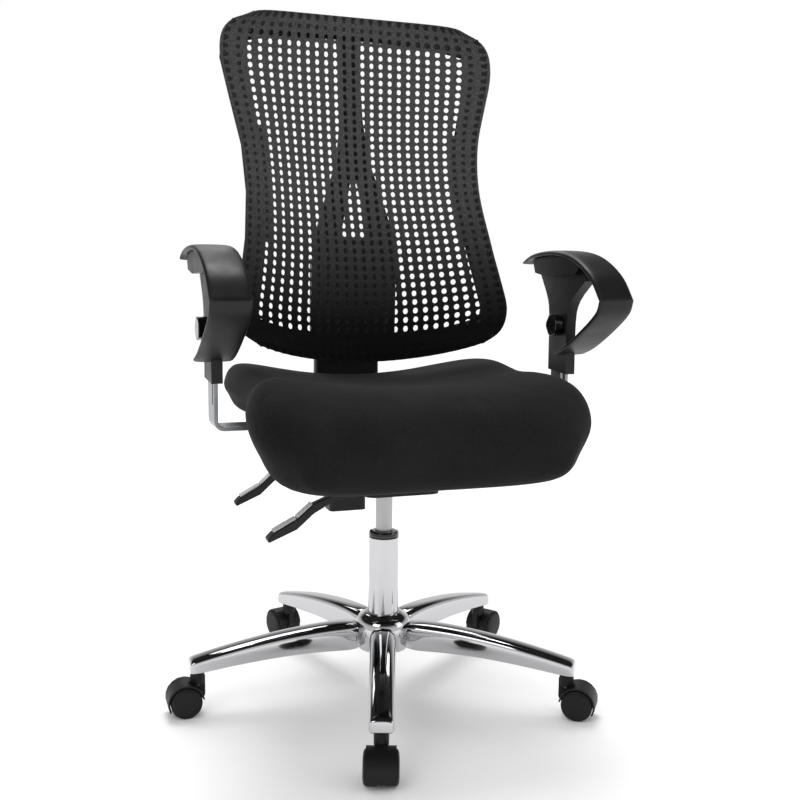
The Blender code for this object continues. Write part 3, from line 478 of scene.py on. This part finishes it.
# %% Column
column = place(0.0, 0.0, 0.0, lift=0.0)
up_axis = (0.0, 0.0, 1.0)
tube = [(0.0225, 0.2680), (0.0244, 0.2685), (0.0250, 0.2679), (0.0250, 0.0816), (0.0244, 0.0810),
        (0.0060, 0.0810), (0.0060, 0.0840), (0.0225, 0.0840), (0.0225, 0.2680)]
settle(to_object(spin(tube, column, up_axis, 96), "column_tube_chromed", 40.0), "column_tube")
bush = [(0.0148, 0.2785), (0.0215, 0.2785), (0.0240, 0.2775), (0.0250, 0.2755), (0.0250, 0.2702),
        (0.0240, 0.2692), (0.0222, 0.2688), (0.0222, 0.2080), (0.0144, 0.2080), (0.0144, 0.2778),
        (0.0148, 0.2785)]
settle(to_object(spin(bush, column, up_axis, 96), "guide_bush_polished", 40.0), "column_bush")
cylinder_low, cylinder_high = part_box("gas_cylinder")[0][2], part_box("gas_cylinder")[1][2]
bore = 0.0054
gas = [(0.0044, cylinder_high - 0.012), (0.0044, cylinder_high), (0.0128, cylinder_high),
       (0.0133, cylinder_high - 0.003), (0.0140, cylinder_high - 0.046), (0.0140, cylinder_low + 0.001),
       (0.0132, cylinder_low), (bore, cylinder_low), (bore, cylinder_high - 0.026),
       (0.0, cylinder_high - 0.026)]
socket_floor = [(0.0, cylinder_high - 0.012)]
settle(to_object(spin(socket_floor + gas, column, up_axis, 96), "gas_cylinder_ground", 40.0), "gas_cylinder")

# %% [markdown]
# ## Casters
# Each caster has two nylon wheels that show a broad, slightly domed disc with a shallow step near the
# rim. The hood arches over both. The wheels are spun, and the hood is the frame's own part with its
# edges rounded.

# %% Casters
WHEEL = [(0.0034, -0.0050), (0.0235, -0.0050), (0.0246, -0.0056), (0.0250, -0.0072), (0.0250, -0.0205),
         (0.0243, -0.0232), (0.0226, -0.0243), (0.0216, -0.0243), (0.0208, -0.0251), (0.0150, -0.0258),
         (0.0, -0.0260)]
BLIND_BORE = [(0.0, -0.0235), (0.0034, -0.0235), (0.0034, -0.0050)]
AXLE_CIRCLE = 0.332                   # radius of the circle of wheel axles, casters trailing outwards
AXLE_HEIGHT = 0.025                   # the wheels' radius
for index in range(ARMS):
    number = index + 1
    direction = arm_direction(index)
    wheel_low, wheel_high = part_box("caster_wheel_a_%d" % number)
    axle = place(AXLE_CIRCLE * math.cos(direction), AXLE_CIRCLE * math.sin(direction), AXLE_HEIGHT, lift=0.0)
    sideways = Vector((-math.sin(direction), math.cos(direction), 0.0))
    middle_a = (Vector(wheel_low) + Vector(wheel_high)) / 2.0
    outward = 1.0 if (middle_a - axle).dot(sideways) > 0.0 else -1.0
    for label, sign in (("a", outward), ("b", -outward)):
        wheel = spin(BLIND_BORE + WHEEL[1:], axle, sideways * -sign, 56)
        settle(to_object(wheel, "wheel_%s_%d" % (label, number), 38.0),
               "caster_wheel_%s_%d" % (label, number), moulded_nylon)
    refine("caster_hood_%d" % number, "hood_%d" % number, 0.0007, moulded_nylon)

# %% [markdown]
# ## Hard parts whose form is already right
# The covers, levers, brackets, mechanism and spine need only what a mould or a press gives: edges with
# a small radius that catch a line of light. The inner steel parts keep the frame's own mesh and get
# their finish.

# %% Rounded copies of frame parts
SOFT_EDGES = {                        # part: edge radius in metres
    "mechanism_housing": 0.0015, "seat_carrier": 0.0008, "seat_pan": 0.0020,
    "back_bar": 0.0008, "bar_cover": 0.0012, "bar_end_cap": 0.0012, "back_sleeve": 0.0012,
    "back_frame": 0.0020, "lift_lever": 0.0016, "tilt_lever": 0.0016, "tension_knob": 0.0012,
    "arm_bracket_left": 0.0007, "arm_bracket_right": 0.0007, "arm_knob_left": 0.0010,
    "arm_knob_right": 0.0010, "arm_upright_left": 0.0015, "arm_upright_right": 0.0015}
for node, radius in SOFT_EDGES.items():
    refine(node, node + "_finished", radius)
refine("back_spine", "back_spine_finished", 0.0016, charcoal_nylon)

CREASE_AT, INLAY_GAP = 0.60, 0.0011   # where along an inlay its lever bends, and half the gap there
for node in ("lift_lever_inlay", "tilt_lever_inlay"):
    low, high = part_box(node)
    bend_x = low[0] + (high[0] - low[0]) * CREASE_AT
    inlay = bmesh.new()
    inlay.from_mesh(frame["nodes"][node].data)
    bmesh.ops.remove_doubles(inlay, verts=inlay.verts[:], dist=0.00002)
    bmesh.ops.dissolve_limit(inlay, angle_limit=math.radians(1.0), verts=inlay.verts[:], edges=inlay.edges[:])
    for cut_x in (bend_x - INLAY_GAP, bend_x + INLAY_GAP):
        bmesh.ops.bisect_plane(inlay, geom=inlay.verts[:] + inlay.edges[:] + inlay.faces[:], dist=0.000001,
                               plane_co=(cut_x, 0.0, 0.0), plane_no=(1.0, 0.0, 0.0))
    between = [face for face in inlay.faces if abs(face.calc_center_median().x - bend_x) < INLAY_GAP]
    bmesh.ops.delete(inlay, geom=between, context="FACES")
    bmesh.ops.holes_fill(inlay, edges=[edge for edge in inlay.edges if edge.is_boundary], sides=0)
    bmesh.ops.recalc_face_normals(inlay, faces=inlay.faces[:])
    plates = to_object(inlay, node + "_finished", sharp=44.0)
    soften(plates, 0.0004)
    settle(plates, node)

for node in ("thrust_bearing", "piston_rod", "release_button", "seat_axle", "back_axle", "tension_spring",
             *["caster_%s_%d" % (part, k + 1) for part in ("stem", "axle") for k in range(ARMS)]):
    kept = frame["nodes"][node]
    kept.data.materials.clear()
    kept.data.materials.append(FINISHES[SLOT_OF[node]])

# %% [markdown]
# ## Arm bands
# Each armrest is one moulded band. It starts as a thin edge at the rear, swells to the pad, turns down
# over the front and comes back under the hand to the upright. A ring of points with a slightly crowned
# outer face is extruded along that path.

# %% Arm bands
ARM_X = 0.296
BAND_HALF = 0.030
LOOP_OUTER = [(0.049, 0.736), (0.010, 0.7525), (-0.062, 0.7575), (-0.130, 0.748), (-0.190, 0.719),
              (-0.226, 0.681)]
LOOP_LOWER = [(-0.226, 0.681), (-0.213, 0.656), (-0.164, 0.624), (-0.112, 0.597), (-0.074, 0.584)]
BAND_SECTION = [(0.0, 0.0), (0.55, 0.02), (0.84, 0.10), (0.96, 0.27), (1.0, 0.55), (0.97, 0.88),
                (0.86, 1.0), (0.0, 1.0)]


def band_rings(side):
    """Rings across the band, each set square to the path; the depth grows from the thin rear edge."""
    upper = smooth_curve(LOOP_OUTER, 5)
    lower = smooth_curve(LOOP_LOWER, 5)
    path = upper + lower[1:]
    depth = [0.003 + 0.006 * min(1.0, i / 5.0) for i in range(len(upper))]
    depth += [0.0085 - 0.0025 * i / len(lower) for i in range(1, len(lower))]
    section = BAND_SECTION + [(-across, down) for across, down in reversed(BAND_SECTION[1:-1])]
    rings = []
    for i, (point, thick) in enumerate(zip(path, depth)):
        along = (path[min(i + 1, len(path) - 1)] - path[max(i - 1, 0)]).normalized()
        inward = Vector((-along.y, along.x))
        rings.append([place(side * ARM_X + side * across * BAND_HALF, point.x + inward.x * down * thick,
                            point.y + inward.y * down * thick) for across, down in section])
    return rings


for side, label in ((1, "left"), (-1, "right")):
    band = to_object(sweep(band_rings(side)), "arm_band_" + label)
    subdivide(band, 2)
    settle(band, "arm_loop_" + label)

# %% [markdown]
# ## The knit back
# The back is an open warp knit pulled over a hoop. Its holes are real openings here, not a picture of
# them: a grid of cells is bent to the back's curve, each cell is inset, and the inner face is taken
# out. Near the edge, where the hoop stands behind it, the cells are closed and only dimpled. The rim is
# then turned back round the hoop, as the sewn sleeve is, and the sheet gets a thickness and is
# smoothed, which rounds every hole.

# %% Curves of the back
BACK_HALF = [(0.600, 0.198), (0.612, 0.221), (0.632, 0.234), (0.660, 0.2385), (0.700, 0.2300),
             (0.760, 0.2180), (0.860, 0.2075), (0.940, 0.2130), (1.010, 0.2300), (1.050, 0.2400),
             (1.080, 0.2425), (1.106, 0.2380), (1.124, 0.2250), (1.136, 0.2040), (1.142, 0.1760)]
BACK_EDGE_Y = [(0.560, 0.040), (0.670, 0.043), (0.760, 0.064), (0.860, 0.102), (0.960, 0.128),
               (1.160, 0.150)]
BACK_DISH = [(0.560, 0.062), (0.700, 0.062), (0.860, 0.055), (1.000, 0.047), (1.160, 0.042)]
KNIT_HALF = [(0.600, 0.212), (0.632, 0.232), (0.660, 0.2370), (0.700, 0.2310), (0.760, 0.2205),
             (0.860, 0.2120), (0.940, 0.2135), (1.010, 0.2190), (1.080, 0.2235), (1.142, 0.2200)]
BACK_LOW, BACK_HIGH = BACK_HALF[0][0], BACK_HALF[-1][0]


def read(table, z):
    """Smoothly interpolated value from (z, value) pairs in rising z."""
    if z <= table[0][0]:
        return table[0][1]
    for i in range(len(table) - 1):
        (z0, v0), (z1, v1) = table[i:i + 2]
        if z <= z1:
            before, after = table[max(i - 1, 0)], table[min(i + 2, len(table) - 1)]
            m0 = (v1 - before[1]) / (z1 - before[0]) * (z1 - z0)
            m1 = (after[1] - v0) / (after[0] - z0) * (z1 - z0)
            t = (z - z0) / (z1 - z0)
            return ((2 * t ** 3 - 3 * t * t + 1) * v0 + (t ** 3 - 2 * t * t + t) * m0
                    + (3 * t * t - 2 * t ** 3) * v1 + (t ** 3 - t * t) * m1)
    return table[-1][1]


def knit_point(across, side_z):
    """A point of the knit: columns run nearly upright in the middle and follow the outline at its edge."""
    edge, inner = read(BACK_HALF, side_z), read(KNIT_HALF, side_z)
    x = across * (inner + (edge - inner) * across ** 4)
    up = (side_z - BACK_LOW) / (BACK_HIGH - BACK_LOW)
    bow = -0.037 * (1.0 - up) ** 3 + 0.015 * up ** 6
    z = side_z + bow * (1.0 - across ** 2)
    y = read(BACK_EDGE_Y, z) + read(BACK_DISH, z) * (1.0 - min(1.0, abs(x) / read(BACK_HALF, z)) ** 2)
    return place(x, y, z)


# %% Knit with real openings
COLUMNS, ROWS = 27, 41
HOLE_SHARE = (0.47, 0.62)             # width and height of a hole as shares of its cell
RIM_SIDE, RIM_LOW, RIM_HIGH = 0.040, 0.034, 0.026
knit = bmesh.new()
crease = knit.edges.layers.float.new("crease_edge")
bmesh.ops.create_grid(knit, x_segments=COLUMNS, y_segments=ROWS, size=1.0)
rim = [edge for edge in knit.edges if edge.is_boundary]
closed_cells = {}
for face in knit.faces:
    centre = face.calc_center_median()
    side_z = BACK_LOW + (BACK_HIGH - BACK_LOW) * (centre.y + 1.0) / 2.0
    from_edge = (1.0 - abs(centre.x)) * read(BACK_HALF, side_z)
    near_end = side_z - BACK_LOW < RIM_LOW or BACK_HIGH - side_z < RIM_HIGH
    closed_cells[face.index] = near_end or from_edge < RIM_SIDE
for vert in knit.verts:
    vert.co = knit_point(vert.co.x, BACK_LOW + (BACK_HIGH - BACK_LOW) * (vert.co.y + 1.0) / 2.0)
cells = knit.faces[:]
is_closed = [closed_cells[face.index] for face in cells]
bmesh.ops.inset_individual(knit, faces=cells, thickness=0.0022, use_even_offset=False)
opened = []
for cell, shut in zip(cells, is_closed):
    middle = cell.calc_center_median()
    corners = [v.co for v in cell.verts]
    wide = max(c.x for c in corners) - min(c.x for c in corners)
    tall = max(c.z for c in corners) - min(c.z for c in corners)
    full = (wide + 0.0044, tall + 0.0044)
    shrink = (full[0] * HOLE_SHARE[0] / wide, 1.0, full[1] * HOLE_SHARE[1] / tall)
    bmesh.ops.scale(knit, vec=shrink, space=Matrix.Translation(-middle), verts=cell.verts[:])
    if shut:
        bmesh.ops.translate(knit, vec=(0.0, 0.0016, 0.0), verts=cell.verts[:])
        cell.material_index = 1
    else:
        opened.append(cell)
for cell in opened:
    for edge in cell.edges:           # keeps each hole a rounded square rather than a circle
        edge[crease] = 0.85
bmesh.ops.delete(knit, geom=opened, context="FACES_ONLY")
print("knit cells", len(cells), "open", len(opened))

# %% Rim turned back round the hoop
WRAP_DEPTH, WRAP_BACK = 0.0195, 0.030
outline_centre = place(0.0, 0.0, 0.86)
for back, inward in ((WRAP_DEPTH, 0.0), (0.002, WRAP_BACK)):
    grown = bmesh.ops.extrude_edge_only(knit, edges=rim)["geom"]
    fresh = [g for g in grown if isinstance(g, bmesh.types.BMVert)]
    rim = [g for g in grown if isinstance(g, bmesh.types.BMEdge) and all(v in fresh for v in g.verts)]
    for vert in fresh:
        flat = Vector((vert.co.x - outline_centre.x, 0.0, vert.co.z - outline_centre.z))
        vert.co -= flat.normalized() * inward
        vert.co.y += back
bmesh.ops.recalc_face_normals(knit, faces=knit.faces[:])
knit_back = to_object(knit, "knit_back")
knit_back.data.materials.append(knit_yarn)
knit_back.data.materials.append(knit_shadow)
wall = knit_back.modifiers.new("yarn thickness", "SOLIDIFY")
wall.thickness = 0.0022
wall.offset = 0.0
subdivide(knit_back, 1)
settle(knit_back, "back_mesh")

# %% [markdown]
# ## The stuffed seat
# The real seat is moulded foam with a cover pulled tight over it: a shallow dish between two thigh
# rolls, and a front that falls away in a deep round lip. The form is extruded from section to section,
# smoothed, remeshed into even cells and then blown up a little as cloth, which gives the skin its
# tension. The underside is held where it meets the pan.

# %% Seat form
SEAT_SECTIONS = [                     # y, half width, centre, crest, widest, underside, foot
    (-0.272, 0.190, 0.468, 0.466, 0.450, 0.430, 0.88), (-0.258, 0.224, 0.508, 0.503, 0.468, 0.410, 0.80),
    (-0.234, 0.257, 0.526, 0.527, 0.480, 0.404, 0.76), (-0.196, 0.270, 0.538, 0.546, 0.492, 0.410, 0.79),
    (-0.147, 0.268, 0.541, 0.557, 0.512, 0.444, 0.79), (-0.100, 0.256, 0.538, 0.559, 0.522, 0.482, 0.80),
    (-0.080, 0.252, 0.536, 0.558, 0.523, 0.4895, 0.81), (-0.020, 0.250, 0.533, 0.560, 0.523, 0.4895, 0.82),
    (0.050, 0.252, 0.530, 0.564, 0.524, 0.490, 0.83), (0.120, 0.250, 0.531, 0.562, 0.524, 0.491, 0.83),
    (0.170, 0.234, 0.533, 0.552, 0.524, 0.494, 0.84), (0.198, 0.202, 0.526, 0.535, 0.516, 0.500, 0.86)]


def seat_ring(y, half, centre, crest, widest, bottom, foot):
    """One section across the seat: dished in the middle, raised at the thighs, rolled over the sides."""
    right = [(0.00, centre), (0.42, centre + 0.30 * (crest - centre)), (0.83, crest), (0.95, crest - 0.011),
             (1.00, widest), (0.5 + 0.5 * foot + 0.02, (widest + bottom) / 2), (foot, bottom)]
    ring = [(half * x, z) for x, z in right] + [(0.0, bottom)]
    ring += [(-x, z) for x, z in reversed(ring[1:-1])]
    return [place(x, y, z) for x, z in ring]


def push_cage(piece, rounds=2, share=0.6):
    """Move the cage out until the smooth surface runs close to where the cage's points were."""
    targets = [vert.co.copy() for vert in piece.data.vertices]
    for _ in range(rounds):
        graph = bpy.context.evaluated_depsgraph_get()
        smooth = piece.evaluated_get(graph).data.vertices
        moves = [(target - smooth[i].co) * share for i, target in enumerate(targets)]
        for vert, move in zip(piece.data.vertices, moves):
            vert.co += move
        piece.data.update()


def applied(piece):
    """Replace a piece's mesh with what its modifiers make of it, and drop them."""
    graph = bpy.context.evaluated_depsgraph_get()
    mesh = bpy.data.meshes.new_from_object(piece.evaluated_get(graph))
    piece.modifiers.clear()
    piece.data = mesh


seat = to_object(sweep([seat_ring(*section) for section in SEAT_SECTIONS]), "seat_cover")
subdivide(seat, 3)
push_cage(seat)
applied(seat)
remesh = seat.modifiers.new("even cells", "REMESH")
remesh.mode = "VOXEL"
remesh.voxel_size = 0.006
remesh.use_smooth_shade = True
applied(seat)
print("seat cells", len(seat.data.polygons))

# %% Seat cover under tension
PRESSURE, CAP, FRAMES = 4.0, 0.004, 20
HELD_BELOW = place(0.0, 0.0, 0.4975).z
REAR_OF = place(0.0, -0.120, 0.0).y


def inflate(piece):
    """Blow the cover up as cloth, then limit how far each point has moved."""
    rest = [vert.co.copy() for vert in piece.data.vertices]
    held = piece.vertex_groups.new(name="held")
    held.add([i for i, co in enumerate(rest) if co.z < HELD_BELOW and co.y > REAR_OF], 1.0, "REPLACE")
    cloth = piece.modifiers.new("stuffing", "CLOTH")
    cloth.settings.use_pressure = True
    cloth.settings.uniform_pressure_force = PRESSURE
    cloth.settings.effector_weights.gravity = 0.0
    cloth.settings.vertex_group_mass = "held"
    for number in range(1, FRAMES + 1):
        bpy.context.scene.frame_set(number)
    applied(piece)
    for vert, start in zip(piece.data.vertices, rest):
        move = vert.co - start
        vert.co = start + move * min(1.0, CAP / max(move.length, 1e-9))
    piece.vertex_groups.clear()
    bpy.context.scene.frame_set(1)


inflate(seat)
for polygon in seat.data.polygons:
    polygon.use_smooth = True
subdivide(seat, 1)
settle(seat, "seat_cushion", seat_weave)
